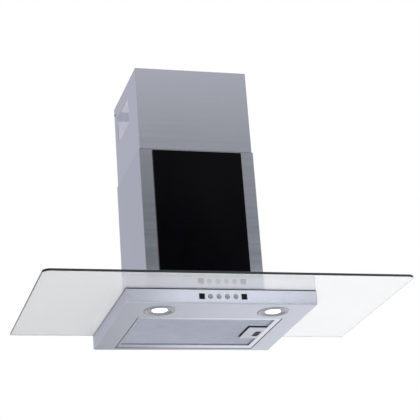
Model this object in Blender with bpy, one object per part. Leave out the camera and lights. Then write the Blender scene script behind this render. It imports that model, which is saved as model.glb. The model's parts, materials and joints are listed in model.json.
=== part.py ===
"""Wall-mounted chimney range hood with a glass canopy.

Metres, +Z up. X runs left to right seen from the front, the front faces -Y and
the wall is the plane y = 0. The origin is the middle of the hanging plate's back
face. Heights are written from the underside of the glass and moved by GLASS_Z.
"""

import math

import bmesh
import bpy
from mathutils import Vector

for old in list(bpy.data.objects):
    bpy.data.objects.remove(old, do_unlink=True)

# ---------------------------------------------------------------- dimensions
GLASS_Z = -0.250  # underside of the glass, from the origin

GLASS_W, GLASS_D, GLASS_T, GLASS_R = 0.900, 0.520, 0.006, 0.018
BODY_W, BODY_D = 0.472, 0.406
BODY_BOTTOM, BODY_TOP = -0.0377, -0.0027
SHEET = 0.0010
GAP = 0.0003

LOWER_W, LOWER_D = 0.3025, 0.2695
LOWER_BOTTOM, LOWER_TOP = GLASS_T + GAP, 0.415
UPPER_W, UPPER_D = 0.2977, 0.2657
UPPER_BACK = -0.0013
UPPER_BOTTOM, UPPER_TOP = 0.245, 0.643
VENT_COUNT, VENT_PITCH, VENT_WIDE = 12, 0.0113, 0.0064
VENT_MID_Y, VENT_Z = -0.1000, (0.529, 0.605)

PANEL_W, PANEL_Z, PANEL_T = 0.234, (0.0905, 0.412), 0.004

HOUSING_X, HOUSING_Y = 0.120, (-0.2490, -0.0028)
HOUSING_Z = (-0.0024, 0.2400)

FAN_Y, FAN_Z = -0.1300, 0.1120
SCROLL_X, SCROLL_WALL = 0.062, 0.002
SCROLL_START, SCROLL_END = 0.084, 0.106
INLET_R = 0.060
WHEEL_R, WHEEL_IN, WHEEL_X = 0.0750, 0.0625, 0.052
BLADES = 18

COLLAR_Y, COLLAR_R, COLLAR_WALL = -0.1275, 0.0745, 0.0015
COLLAR_Z = (0.2403, 0.3000)
FLAP_Z, FLAP_R = 0.2720, 0.0710

LAMP_X, LAMP_Y, LAMP_R = 0.1425, -0.3450, 0.0400
BUTTON_Z = -0.0190
BUTTON_X = (-0.0525, -0.0315, -0.0105, 0.0105, 0.0315, 0.0525)
BUTTON_TRAVEL = 0.0020

FILTER_X, FILTER_Y = (-0.1812, 0.1814), (-0.2900, -0.0222)
FILTER_Z = (-0.0377, -0.0270)
WINDOW_X, WINDOW_Y = (-0.1755, 0.1680), (-0.2775, -0.0460)
OPENING_X, OPENING_Y = (-0.1823, 0.1836), (-0.2908, -0.0190)
LATCH_Y = -0.1555

# ---------------------------------------------------------------- materials
STEEL = (0.45, 0.46, 0.50), 0.32, 1.0
GALVANISED = (0.50, 0.51, 0.52), 0.45, 1.0
ALUMINIUM = (0.62, 0.63, 0.65), 0.40, 1.0
BLACK_GLASS = (0.010, 0.009, 0.012), 0.05, 0.0
CLEAR_GLASS = (0.75, 0.85, 0.83), 0.02, 0.0
RUBBER = (0.03, 0.03, 0.035), 0.80, 0.0
BLACK_PLASTIC = (0.02, 0.02, 0.022), 0.40, 0.0
WHITE_PLASTIC = (0.75, 0.75, 0.73), 0.45, 0.0
GREEN_BOARD = (0.02, 0.16, 0.06), 0.40, 0.0
LAMP_LENS = (0.95, 0.95, 0.93), 0.15, 0.0
CHROME = (0.70, 0.71, 0.73), 0.12, 1.0
ZINC = (0.60, 0.60, 0.58), 0.35, 1.0
MOTOR_PAINT = (0.10, 0.10, 0.11), 0.50, 0.0


def material(name, look):
    colour, rough, metal = look
    made = bpy.data.materials.new(name)
    made.use_nodes = True
    shader = made.node_tree.nodes["Principled BSDF"]
    shader.inputs["Base Color"].default_value = (*colour, 1.0)
    shader.inputs["Roughness"].default_value = rough
    shader.inputs["Metallic"].default_value = metal
    made.diffuse_color = (*colour, 1.0)
    return made


# ---------------------------------------------------------------- shapes
def spot(axis, a, b, h):
    """A point from its two cross coordinates and its place along the axis."""
    if axis == "x":
        return Vector((h, a, b + GLASS_Z))
    if axis == "y":
        return Vector((a, h, b + GLASS_Z))
    return Vector((a, b, h + GLASS_Z))


class Form:
    """Closed shapes gathered in one bmesh, all in hood coordinates."""

    def __init__(self):
        self.bm = bmesh.new()

    def box(self, x, y, z):
        for v in bmesh.ops.create_cube(self.bm, size=1.0)["verts"]:
            v.co = Vector(
                (
                    x[0] if v.co.x < 0 else x[1],
                    y[0] if v.co.y < 0 else y[1],
                    (z[0] if v.co.z < 0 else z[1]) + GLASS_Z,
                )
            )
        return self

    def prism(self, axis, outline, span):
        rings = [
            [self.bm.verts.new(spot(axis, a, b, h)) for a, b in outline] for h in span
        ]
        count = len(outline)
        self.bm.faces.new(rings[0])
        self.bm.faces.new(rings[1][::-1])
        for i in range(count):
            j = (i + 1) % count
            self.bm.faces.new((rings[0][i], rings[0][j], rings[1][j], rings[1][i]))
        return self

    def cyl(self, axis, a, b, radius, span, segments=32):
        turn = [2 * math.pi * i / segments for i in range(segments)]
        outline = [(a + radius * math.cos(t), b + radius * math.sin(t)) for t in turn]
        return self.prism(axis, outline, span)

    def lathe(self, axis, a, b, profile, segments=40):
        """A closed profile of (radius, height) turned about the axis through (a, b)."""
        rings = []
        for radius, height in profile:
            if radius < 1e-7:
                rings.append([self.bm.verts.new(spot(axis, a, b, height))])
                continue
            rings.append(
                [
                    self.bm.verts.new(
                        spot(
                            axis,
                            a + radius * math.cos(2 * math.pi * i / segments),
                            b + radius * math.sin(2 * math.pi * i / segments),
                            height,
                        )
                    )
                    for i in range(segments)
                ]
            )
        for first, second in zip(rings, rings[1:] + rings[:1]):
            if len(first) == 1 and len(second) == 1:
                continue
            for i in range(segments):
                j = (i + 1) % segments
                if len(first) == 1:
                    self.bm.faces.new((first[0], second[j], second[i]))
                elif len(second) == 1:
                    self.bm.faces.new((first[i], first[j], second[0]))
                else:
                    self.bm.faces.new((first[i], first[j], second[j], second[i]))
        return self

    def object(self, name):
        bmesh.ops.recalc_face_normals(self.bm, faces=self.bm.faces[:])
        mesh = bpy.data.meshes.new(name)
        self.bm.to_mesh(mesh)
        self.bm.free()
        made = bpy.data.objects.new(name, mesh)
        bpy.context.scene.collection.objects.link(made)
        return made


def node(name, look, base, add=(), cut=(), pivot=None, smooth=False, bevel=None):
    """One named piece: its base form, with others joined to it and cut from it."""
    piece = base.object(name)
    piece.data.materials.append(material(name, look))
    for kind, forms in (("UNION", add), ("DIFFERENCE", cut)):
        for number, form in enumerate(forms):
            helper = form.object(f"{name}.{kind.lower()}{number}")
            helper.hide_render = True
            helper.display_type = "WIRE"
            modifier = piece.modifiers.new(helper.name, "BOOLEAN")
            modifier.operation = kind
            modifier.solver = "EXACT"
            modifier.object = helper
    if bevel:
        rounding = piece.modifiers.new("edge", "BEVEL")
        rounding.width = bevel
        rounding.segments = 1
        rounding.limit_method = "ANGLE"
        rounding.angle_limit = math.radians(40)
    if smooth:
        piece.data.shade_smooth()
        piece.data.set_sharp_from_angle(angle=math.radians(35))
    if pivot is not None:
        centre = Vector(pivot) + Vector((0, 0, GLASS_Z))
        for vertex in piece.data.vertices:
            vertex.co -= centre
        piece.location = centre
    return piece


def rounded(x, y, front, back, steps=6):
    """A rectangle's outline with its front (low y) and back corners rounded."""
    corners = (
        (x[0], y[0], 180, front),
        (x[1], y[0], 270, front),
        (x[1], y[1], 0, back),
        (x[0], y[1], 90, back),
    )
    outline = []
    for cx, cy, start, radius in corners:
        if radius <= 0:
            outline.append((cx, cy))
            continue
        mx = cx + radius * (1 if cx == x[0] else -1)
        my = cy + radius * (1 if cy == y[0] else -1)
        for i in range(steps + 1):
            t = math.radians(start + 90 * i / steps)
            outline.append((mx + radius * math.cos(t), my + radius * math.sin(t)))
    return outline


# ---------------------------------------------------------------- canopy body
HALF = BODY_W / 2
node(
    "canopy_body",
    STEEL,
    Form().box((-HALF, HALF), (-BODY_D, 0), (BODY_BOTTOM, BODY_TOP)),
    cut=[
        Form().box(
            (-HALF + SHEET, HALF - SHEET),
            (-BODY_D + SHEET, -SHEET),
            (BODY_BOTTOM + SHEET, BODY_TOP - SHEET),
        ),
        # the front, which the fascia closes, above the turned lip
        Form().box(
            (-HALF + SHEET, HALF - SHEET),
            (-BODY_D - 0.01, -BODY_D + SHEET + GAP),
            (-0.0343, 0.01),
        ),
        # filter opening
        Form().box(OPENING_X, OPENING_Y, (-0.05, -0.030)),
        # lamp holes
        Form()
        .cyl("z", -LAMP_X, LAMP_Y, 0.0376, (-0.05, -0.030), 36)
        .cyl("z", LAMP_X, LAMP_Y, 0.0376, (-0.05, -0.030), 36),
        # air opening and screw holes in the top sheet
        Form().box((-0.105, 0.105), (-0.234, -0.018), (-0.006, 0.006)),
        Form()
        .cyl("z", -0.1385, -0.030, 0.0026, (-0.006, 0.006), 12)
        .cyl("z", 0.1385, -0.030, 0.0026, (-0.006, 0.006), 12)
        .cyl("z", -0.1385, -0.240, 0.0026, (-0.006, 0.006), 12)
        .cyl("z", 0.1385, -0.240, 0.0026, (-0.006, 0.006), 12)
        .cyl("z", -0.1125, -0.126, 0.0026, (-0.006, 0.006), 12)
        .cyl("z", 0.1125, -0.126, 0.0026, (-0.006, 0.006), 12),
    ],
)

fascia = node(
    "front_fascia",
    STEEL,
    Form().box((-0.2347, 0.2347), (-BODY_D, -BODY_D + SHEET), (-0.0340, BODY_TOP)),
    add=[
        Form().box((-0.2300, 0.2300), (-0.4055, -0.3980), (-0.0052, -0.0042)),
    ],
    cut=[
        Form()
        .box((-0.0596, -0.0454), (-0.410, -0.403), (-0.0261, -0.0119))
        .box((0.0454, 0.0596), (-0.410, -0.403), (-0.0261, -0.0119)),
        Form()
        .cyl("y", BUTTON_X[1], BUTTON_Z, 0.0062, (-0.410, -0.403), 24)
        .cyl("y", BUTTON_X[2], BUTTON_Z, 0.0062, (-0.410, -0.403), 24)
        .cyl("y", BUTTON_X[3], BUTTON_Z, 0.0062, (-0.410, -0.403), 24)
        .cyl("y", BUTTON_X[4], BUTTON_Z, 0.0062, (-0.410, -0.403), 24),
    ],
)

# ---------------------------------------------------------------- glass and gasket
node(
    "glass_gasket",
    RUBBER,
    Form().box((-0.2345, 0.2345), (-0.4035, -0.0010), (BODY_TOP + GAP, -GAP)),
    cut=[
        Form().box((-0.2265, 0.2265), (-0.3955, -0.0090), (-0.01, 0.01)),
        # open at the back, where the motor housing stands
        Form().box((-0.1245, 0.1245), (-0.0200, 0.01), (-0.01, 0.01)),
    ],
)
SCREWS = ((-0.1385, -0.030), (0.1385, -0.030), (-0.1385, -0.240), (0.1385, -0.240))
glass_holes = Form()
flange_holes = Form()
for sx, sy in SCREWS:
    glass_holes.cyl("z", sx, sy, 0.0035, (-0.01, 0.02), 16)
    flange_holes.cyl("z", sx, sy, 0.0026, (0.0, 0.02), 12)
node(
    "glass_canopy",
    CLEAR_GLASS,
    Form().prism(
        "z",
        rounded((-GLASS_W / 2, GLASS_W / 2), (-GLASS_D, 0), GLASS_R, 0, 8),
        (0, GLASS_T),
    ),
    cut=[
        Form().prism(
            "z", rounded((-0.1245, 0.1245), (-0.2535, 0.01), 0.008, 0), (-0.01, 0.02)
        ),
        glass_holes,
    ],
)

# ---------------------------------------------------------------- chimney covers
half, wall = LOWER_W / 2, SHEET
node(
    "lower_chimney",
    STEEL,
    Form().box((-half, half), (-LOWER_D, 0), (LOWER_BOTTOM, LOWER_TOP)),
    cut=[
        # the hollow above the foot flanges, then the open back between the returns
        Form().box(
            (-half + wall, half - wall), (-LOWER_D + wall, -wall), (0.0073, 0.5)
        ),
        Form().box((-0.1290, 0.1290), (-0.2600, 0.01), (-0.01, 0.5)),
        Form().box((-0.1405, 0.1405), (-0.0050, 0.01), (-0.01, 0.5)),
        flange_holes,
    ],
)
half = UPPER_W / 2
vents = Form()
for i in range(VENT_COUNT):
    mid = VENT_MID_Y + VENT_PITCH * (i - (VENT_COUNT - 1) / 2)
    vents.box((-0.3, 0.3), (mid - VENT_WIDE / 2, mid + VENT_WIDE / 2), VENT_Z)
node(
    "upper_chimney",
    STEEL,
    Form().box(
        (-half, half), (UPPER_BACK - UPPER_D, UPPER_BACK), (UPPER_BOTTOM, UPPER_TOP)
    ),
    cut=[
        Form().box(
            (-half + wall, half - wall),
            (UPPER_BACK - UPPER_D + wall, UPPER_BACK - wall),
            (0.1, 0.8),
        ),
        Form().box((-0.1390, 0.1390), (-0.0300, 0.01), (0.1, 0.8)),
        Form().box((-half + wall, half - wall), (-0.0300, 0.01), (0.6000, 0.8)),
        vents,
        Form().cyl("x", -0.0095, 0.6240, 0.0022, (-0.2, 0.2), 12),
    ],
)
node(
    "black_glass_panel",
    BLACK_GLASS,
    Form().box(
        (-PANEL_W / 2, PANEL_W / 2),
        (-LOWER_D - GAP - PANEL_T, -LOWER_D - GAP),
        PANEL_Z,
    ),
)
node(
    "upper_bracket",
    GALVANISED,
    Form().box((-0.1474, 0.1474), (-0.0200, 0), (0.6100, 0.6380)),
    cut=[
        Form().box((-0.1462, 0.1462), (-0.0300, -0.0012), (0.6, 0.65)),
        Form().cyl("x", -0.0095, 0.6240, 0.0022, (-0.2, 0.2), 12),
        Form()
        .cyl("y", -0.090, 0.6240, 0.0030, (-0.01, 0.01), 16)
        .cyl("y", 0.090, 0.6240, 0.0030, (-0.01, 0.01), 16),
    ],
)
for side, sign in (("left", -1), ("right", 1)):
    ends = [(0.0, 0.1401), (0.0019, 0.1401), (0.0019, 0.1491), (0.0036, 0.1491)]
    ends += [(0.0036, 0.1502), (0.0028, 0.1511), (0.0, 0.1514)]
    node(
        f"cover_screw_{side}",
        ZINC,
        Form().lathe("x", -0.0095, 0.6240, [(r, sign * h) for r, h in ends], 16),
        smooth=True,
    )

# ---------------------------------------------------------------- motor housing
HX, HY = HOUSING_X, HOUSING_Y
node(
    "motor_housing",
    GALVANISED,
    Form().box((-HX, HX), HY, HOUSING_Z),
    cut=[
        Form().box(
            (-HX + SHEET, HX - SHEET),
            (HY[0] + SHEET, HY[1] - SHEET),
            (HOUSING_Z[0] + SHEET, HOUSING_Z[1] - SHEET),
        ),
        Form().box((-0.105, 0.105), (-0.234, -0.018), (-0.01, 0.01)),
        Form().cyl("z", 0, COLLAR_Y, COLLAR_R - COLLAR_WALL, (0.23, 0.25), 36),
        Form()
        .cyl("z", -0.1125, -0.126, 0.0026, (-0.006, 0.006), 12)
        .cyl("z", 0.1125, -0.126, 0.0026, (-0.006, 0.006), 12),
        # cable hole to the terminal box
        Form().cyl("x", -0.125, 0.0950, 0.0060, (0.10, 0.13), 16),
        # hanger screw holes
        Form()
        .cyl("y", -0.080, 0.2310, 0.0027, (-0.01, 0.01), 12)
        .cyl("y", 0.080, 0.2310, 0.0027, (-0.01, 0.01), 12),
    ],
)
node(
    "hanging_plate",
    GALVANISED,
    Form().box((-0.100, 0.100), (-0.0025, 0), (0.2220, 0.2780)),
    cut=[
        Form()
        .cyl("y", -0.060, 0.2580, 0.0055, (-0.01, 0.01), 20)
        .cyl("y", 0.060, 0.2580, 0.0055, (-0.01, 0.01), 20),
        Form()
        .box((-0.0630, -0.0570), (-0.01, 0.01), (0.2580, 0.2720))
        .box((0.0570, 0.0630), (-0.01, 0.01), (0.2580, 0.2720)),
        Form()
        .cyl("y", -0.080, 0.2310, 0.0022, (-0.01, 0.01), 12)
        .cyl("y", 0.080, 0.2310, 0.0022, (-0.01, 0.01), 12),
    ],
)
for side, sign in (("left", -1), ("right", 1)):
    profile = [(0.0, -0.0007), (0.0019, -0.0007), (0.0019, -0.0041)]
    profile += [(0.0042, -0.0041), (0.0042, -0.0058), (0.0, -0.0066)]
    node(
        f"hanger_screw_{side}",
        ZINC,
        Form().lathe("y", sign * 0.080, 0.2310, profile, 16),
        smooth=True,
    )
    profile = [(0.0, -0.0080), (0.0021, -0.0080), (0.0021, -0.0011)]
    profile += [(0.0034, -0.0011), (0.0034, 0.0010), (0.0, 0.0018)]
    node(
        f"housing_screw_{side}",
        ZINC,
        Form().lathe("z", sign * 0.1125, -0.126, profile, 16),
        smooth=True,
    )
slots = Form()
for i in range(9):
    y = -0.2270 + 0.0235 * i
    slots.box((-0.098, -0.003), (y, y + 0.0150), (-0.01, 0.01))
    slots.box((0.003, 0.098), (y, y + 0.0150), (-0.01, 0.01))
node(
    "inlet_guard",
    GALVANISED,
    Form().box((-0.1080, 0.1080), (-0.2370, -0.0150), (-0.0011, 0.0004)),
    cut=[slots],
)

# ---------------------------------------------------------------- fan


def scroll(inset, top):
    """The volute's outline in (y, z): a growing spiral, then the outlet throat."""
    outline = []
    start, turns = 68.0, 292.0
    for i in range(23):
        angle = math.radians(start + turns * i / 22)
        radius = SCROLL_START + (SCROLL_END - SCROLL_START) * i / 22 - inset
        outline.append((FAN_Y + radius * math.cos(angle), FAN_Z + radius * math.sin(angle)))
    outline.append((FAN_Y + SCROLL_END - inset, FAN_Z + 0.030))
    outline.append((FAN_Y + 0.062 - inset, 0.226))
    outline.append((FAN_Y + 0.062 - inset, top))
    outline.append((FAN_Y - 0.050 + inset, top))
    outline.append((FAN_Y - 0.050 + inset, 0.226))
    tongue = math.radians(start)
    outline.append(
        (
            FAN_Y + (SCROLL_START + 0.004) * math.cos(tongue) - 0.004 + inset,
            FAN_Z + (SCROLL_START + 0.006) * math.sin(tongue),
        )
    )
    return outline[::-1]


node(
    "fan_scroll",
    BLACK_PLASTIC,
    Form().prism("x", scroll(0, 0.2385), (-SCROLL_X, SCROLL_X)),
    cut=[
        Form().prism(
            "x",
            scroll(SCROLL_WALL, 0.26),
            (-SCROLL_X + SCROLL_WALL, SCROLL_X - SCROLL_WALL),
        ),
        Form().cyl("x", FAN_Y, FAN_Z, INLET_R, (-0.1, 0.1), 30),
    ],
    smooth=True,
)
blades = Form()
for i in range(BLADES):
    angle = 2 * math.pi * i / BLADES
    radial = Vector((math.cos(angle), math.sin(angle)))
    side = Vector((-radial.y, radial.x)) * 0.0006
    sweep = Vector((-radial.y, radial.x)) * 0.0055
    inner = radial * (WHEEL_IN + 0.0008) - sweep
    outer = radial * (WHEEL_R - 0.0008) + sweep * 0.2
    points = (inner - side, outer - side, outer + side, inner + side)
    blades.prism(
        "x",
        [(FAN_Y + p.x, FAN_Z + p.y) for p in points],
        (-WHEEL_X + 0.001, WHEEL_X - 0.001),
    )
node(
    "impeller",
    BLACK_PLASTIC,
    Form().lathe(
        "x",
        FAN_Y,
        FAN_Z,
        [
            (0.0042, -0.0090),
            (0.0110, -0.0090),
            (0.0110, -0.0010),
            (WHEEL_R - 0.0004, -0.0010),
            (WHEEL_R - 0.0004, 0.0010),
            (0.0110, 0.0010),
            (0.0110, 0.0090),
            (0.0042, 0.0090),
        ],
        30,
    ),
    add=[
        blades,
        Form().lathe(
            "x",
            FAN_Y,
            FAN_Z,
            [
                (WHEEL_IN, -WHEEL_X),
                (WHEEL_R, -WHEEL_X),
                (WHEEL_R, -WHEEL_X + 0.002),
                (WHEEL_IN, -WHEEL_X + 0.002),
            ],
            30,
        ),
        Form().lathe(
            "x",
            FAN_Y,
            FAN_Z,
            [
                (WHEEL_IN, WHEEL_X),
                (WHEEL_R, WHEEL_X),
                (WHEEL_R, WHEEL_X - 0.002),
                (WHEEL_IN, WHEEL_X - 0.002),
            ],
            30,
        ),
    ],
    pivot=(0, FAN_Y, FAN_Z),
)
node(
    "motor_shaft",
    ZINC,
    Form().cyl("x", FAN_Y, FAN_Z, 0.0040, (-0.0120, 0.0665), 20),
    pivot=(0, FAN_Y, FAN_Z),
    smooth=True,
)
node(
    "motor",
    MOTOR_PAINT,
    Form().lathe(
        "x",
        FAN_Y,
        FAN_Z,
        [
            (0.0095, 0.0130),
            (0.0260, 0.0130),
            (0.0400, 0.0190),
            (0.0440, 0.0230),
            (0.0440, 0.0600),
            (0.0400, 0.0680),
            (0.0095, 0.0680),
            (0.0095, 0.0620),
            (0.0065, 0.0610),
            (0.0065, 0.0200),
            (0.0095, 0.0190),
        ],
        24,
    ),
    smooth=True,
)
for name, low in (("shaft_bearing_inner", 0.0133), ("shaft_bearing_outer", 0.0624)):
    node(
        name,
        CHROME,
        Form().lathe(
            "x",
            FAN_Y,
            FAN_Z,
            [(0.0043, low), (0.0091, low), (0.0091, low + 0.005), (0.0043, low + 0.005)],
            20,
        ),
        smooth=True,
    )
arms = []
bush_spots = []
for i in range(3):
    angle = math.radians(90 + 120 * i)
    radial = Vector((math.cos(angle), math.sin(angle)))
    side = Vector((-radial.y, radial.x)) * 0.0065
    points = (
        radial * 0.030 - side,
        radial * 0.0745 - side,
        radial * 0.0745 + side,
        radial * 0.030 + side,
    )
    arms.append(
        Form().prism(
            "x", [(FAN_Y + p.x, FAN_Z + p.y) for p in points], (0.0683, 0.0703)
        )
    )
    bush_spots.append((FAN_Y + radial.x * 0.0675, FAN_Z + radial.y * 0.0675))
node(
    "motor_bracket",
    GALVANISED,
    Form().lathe(
        "x",
        FAN_Y,
        FAN_Z,
        [(0.0150, 0.0683), (0.0380, 0.0683), (0.0380, 0.0703), (0.0150, 0.0703)],
        32,
    ),
    add=arms,
)
for number, (by, bz) in enumerate(bush_spots, 1):
    node(
        f"motor_bush_{number}",
        RUBBER,
        Form().cyl("x", by, bz, 0.0055, (SCROLL_X + GAP, 0.0680), 16),
        smooth=True,
    )
node(
    "capacitor",
    WHITE_PLASTIC,
    Form().lathe(
        "z",
        -0.0965,
        -0.2265,
        [(0.0, 0.030), (0.0150, 0.030), (0.0150, 0.086), (0.0130, 0.088), (0.0, 0.088)],
        24,
    ),
    smooth=True,
)
node(
    "capacitor_strap",
    GALVANISED,
    Form().lathe(
        "z",
        -0.0965,
        -0.2265,
        [(0.0154, 0.052), (0.0164, 0.052), (0.0164, 0.062), (0.0154, 0.062)],
        24,
    ),
    add=[Form().box((-0.1187, -0.1120), (-0.2285, -0.2245), (0.052, 0.062))],
)

# ---------------------------------------------------------------- wiring box
node(
    "terminal_box",
    BLACK_PLASTIC,
    Form().box((HX + GAP, 0.1440), (-0.1700, -0.0800), (0.0600, 0.1300)),
    cut=[
        Form().box((HX + 0.0023, 0.1500), (-0.1680, -0.0820), (0.0620, 0.1280)),
        Form().cyl("x", -0.125, 0.0950, 0.0060, (0.10, 0.13), 16),
        Form().cyl("z", 0.1320, -0.1000, 0.0045, (0.12, 0.14), 16),
    ],
)
node(
    "terminal_box_lid",
    BLACK_PLASTIC,
    Form().box((0.1443, 0.1460), (-0.1700, -0.0800), (0.0600, 0.1300)),
)
node(
    "terminal_block",
    WHITE_PLASTIC,
    Form().box((HX + 0.0026, 0.1400), (-0.1560, -0.1400), (0.0720, 0.1180)),
)
node(
    "cable_gland",
    BLACK_PLASTIC,
    Form().lathe(
        "z",
        0.1320,
        -0.1000,
        [
            (0.0045, 0.1303),
            (0.0095, 0.1303),
            (0.0095, 0.1360),
            (0.0080, 0.1370),
            (0.0080, 0.1480),
            (0.0045, 0.1500),
        ],
        20,
    ),
    smooth=True,
)

# ---------------------------------------------------------------- outlet
node(
    "outlet_collar",
    BLACK_PLASTIC,
    Form().lathe(
        "z",
        0,
        COLLAR_Y,
        [
            (COLLAR_R - COLLAR_WALL, COLLAR_Z[0]),
            (0.0860, COLLAR_Z[0]),
            (0.0860, COLLAR_Z[0] + 0.0018),
            (COLLAR_R, COLLAR_Z[0] + 0.0018),
            (COLLAR_R, COLLAR_Z[1]),
            (COLLAR_R - COLLAR_WALL, COLLAR_Z[1]),
        ],
        36,
    ),
    cut=[Form().cyl("y", 0, FLAP_Z, 0.0018, (-0.25, 0.0), 12)],
    smooth=True,
)
node(
    "damper_pin",
    ZINC,
    Form().cyl("y", 0, FLAP_Z, 0.0015, (COLLAR_Y - 0.0743, COLLAR_Y + 0.0743), 12),
    smooth=True,
)
for side, sign, knuckles in (
    ("left", -1, ((-0.0600, -0.0303), (0.0003, 0.0297))),
    ("right", 1, ((-0.0297, -0.0003), (0.0303, 0.0600))),
):
    outline = []
    for i in range(17):
        angle = math.radians(-86.3 + 172.6 * i / 16)
        outline.append(
            (sign * FLAP_R * math.cos(angle), COLLAR_Y + FLAP_R * math.sin(angle))
        )
    barrels, bores = [], Form()
    for low, high in knuckles:
        span = (COLLAR_Y + low, COLLAR_Y + high)
        barrel = Form().cyl("y", 0, FLAP_Z, 0.0034, span, 16)
        web = Form().box(
            tuple(sorted((sign * 0.0024, sign * 0.0060))),
            span,
            (FLAP_Z - 0.0005, FLAP_Z + 0.0005),
        )
        barrels += [barrel, web]
        bores.cyl("y", 0, FLAP_Z, 0.0018, (span[0] - 0.001, span[1] + 0.001), 16)
    node(
        f"damper_flap_{side}",
        ALUMINIUM,
        Form().prism("z", outline, (FLAP_Z - 0.0005, FLAP_Z + 0.0005)),
        add=barrels,
        cut=[bores],
        pivot=(0, COLLAR_Y, FLAP_Z),
    )

# ---------------------------------------------------------------- filter
filter_tabs = [
    Form().box((-0.1890, -0.1800), (y, y + 0.0300), (-0.0362, -0.0350))
    for y in (-0.2650, -0.0800)
]
node(
    "filter_frame",
    STEEL,
    Form().box(FILTER_X, FILTER_Y, FILTER_Z),
    add=filter_tabs,
    cut=[
        Form().box(WINDOW_X, WINDOW_Y, (-0.05, 0.0)),
        Form().box((-0.1795, 0.1712), (-0.2805, -0.0430), (-0.0343, -0.0293)),
        # the latch bolt's slot through the right rail
        Form().box((0.160, 0.190), (LATCH_Y - 0.0066, LATCH_Y + 0.0066), (-0.0353, -0.0323)),
    ],
    pivot=(-0.1823, (FILTER_Y[0] + FILTER_Y[1]) / 2, -0.0367),
)
node(
    "filter_mesh",
    ALUMINIUM,
    Form().box((-0.1792, 0.1709), (-0.2802, -0.0433), (-0.0340, -0.0296)),
    cut=[Form().box((0.1205, 0.2), (-0.2115, -0.1130), (-0.05, 0.0))],
    pivot=(-0.1823, (FILTER_Y[0] + FILTER_Y[1]) / 2, -0.0367),
)
node(
    "filter_latch_plate",
    STEEL,
    Form().box((0.1215, 0.1677), (-0.2105, -0.1140), (-0.0377, -0.0367)),
    add=[Form().box((0.1235, 0.1265), (-0.1700, -0.1410), (-0.0372, -0.0325))],
    cut=[
        Form().prism(
            "z", rounded((0.1485, 0.1645), (-0.1770, -0.1340), 0.006, 0.006, 5), (-0.05, 0)
        )
    ],
    pivot=(-0.1823, (FILTER_Y[0] + FILTER_Y[1]) / 2, -0.0367),
)
node(
    "filter_latch",
    BLACK_PLASTIC,
    Form().box((0.1405, 0.1660), (LATCH_Y - 0.0300, LATCH_Y + 0.0300), (-0.0364, -0.0322)),
    add=[Form().box((0.1640, 0.1832), (LATCH_Y - 0.0060, LATCH_Y + 0.0060), (-0.0350, -0.0326))],
    pivot=(0.1500, LATCH_Y, -0.0340),
)


def coil(name, start, end, radius, turns, wire):
    """A compression spring along X with its ends wound flat."""
    curve = bpy.data.curves.new(name, "CURVE")
    curve.dimensions = "3D"
    curve.bevel_depth = wire / 2
    curve.bevel_resolution = 0
    curve.use_fill_caps = True
    curve.resolution_u = 1
    steps = 10 * turns
    line = curve.splines.new("POLY")
    line.points.add(steps)
    for i in range(steps + 1):
        angle = 2 * math.pi * turns * i / steps
        line.points[i].co = (
            start + wire / 2 + (end - start - wire) * i / steps,
            LATCH_Y + radius * math.cos(angle),
            -0.0343 + GLASS_Z + radius * math.sin(angle),
            1.0,
        )
    curve.materials.append(material(name, ZINC))
    made = bpy.data.objects.new(name, curve)
    bpy.context.scene.collection.objects.link(made)


coil("latch_spring", 0.1269, 0.1401, 0.0014, 5, 0.0005)

# ---------------------------------------------------------------- lamps
for side, sign in (("left", -1), ("right", 1)):
    x = sign * LAMP_X
    node(
        f"lamp_bezel_{side}",
        CHROME,
        Form().lathe(
            "z",
            x,
            LAMP_Y,
            [
                (0.0276, -0.0386),
                (0.0300, -0.0396),
                (0.0370, -0.0392),
                (LAMP_R, -0.0386),
                (LAMP_R, BODY_BOTTOM - GAP),
                (0.0372, BODY_BOTTOM - GAP),
                (0.0372, -0.0280),
                (0.0358, -0.0280),
                (0.0358, -0.0345),
                (0.0276, -0.0345),
            ],
            32,
        ),
        smooth=True,
    )
    node(
        f"lamp_lens_{side}",
        LAMP_LENS,
        Form().lathe(
            "z",
            x,
            LAMP_Y,
            [(0.0, -0.0392), (0.0160, -0.0388), (0.0272, -0.0378), (0.0272, -0.0350), (0.0, -0.0350)],
            28,
        ),
        smooth=True,
    )
    node(
        f"lamp_module_{side}",
        ALUMINIUM,
        Form().lathe(
            "z",
            x,
            LAMP_Y,
            [(0.0, -0.0342), (0.0354, -0.0342), (0.0354, -0.0260), (0.0180, -0.0220), (0.0, -0.0220)],
            20,
        ),
        smooth=True,
    )

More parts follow.
